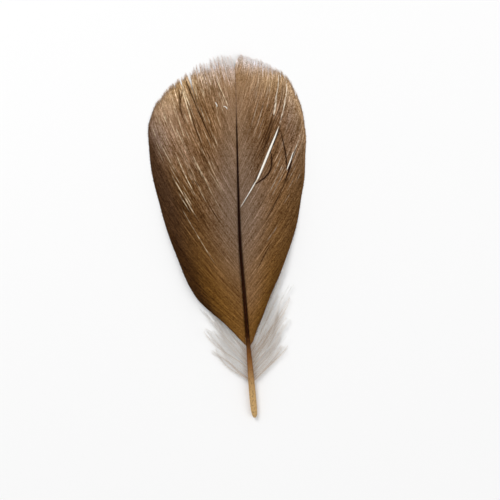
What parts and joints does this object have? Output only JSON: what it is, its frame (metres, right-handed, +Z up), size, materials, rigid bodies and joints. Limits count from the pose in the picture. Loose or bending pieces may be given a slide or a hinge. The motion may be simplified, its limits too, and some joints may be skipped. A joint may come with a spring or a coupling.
{
  "type": "turkey plume",
  "caption": "Broad bronze-brown turkey body feather with an arched shaft, round-tipped vanes and soft down at its base, lying outer face up.",
  "frame": {"origin": "centre of the feather's footprint on the surface that it lies on", "axes": "+Y along the feather from quill to tip, +X to the right of a viewer who looks down on its outer face with the tip away, +Z up from the surface"},
  "size_m": [0.0494, 0.1138, 0.0072],
  "materials": {
    "plume": "silky matte, barbed"
  },
  "bodies": {
    "root": {"feather": "plume"}
  },
  "joints": []
}
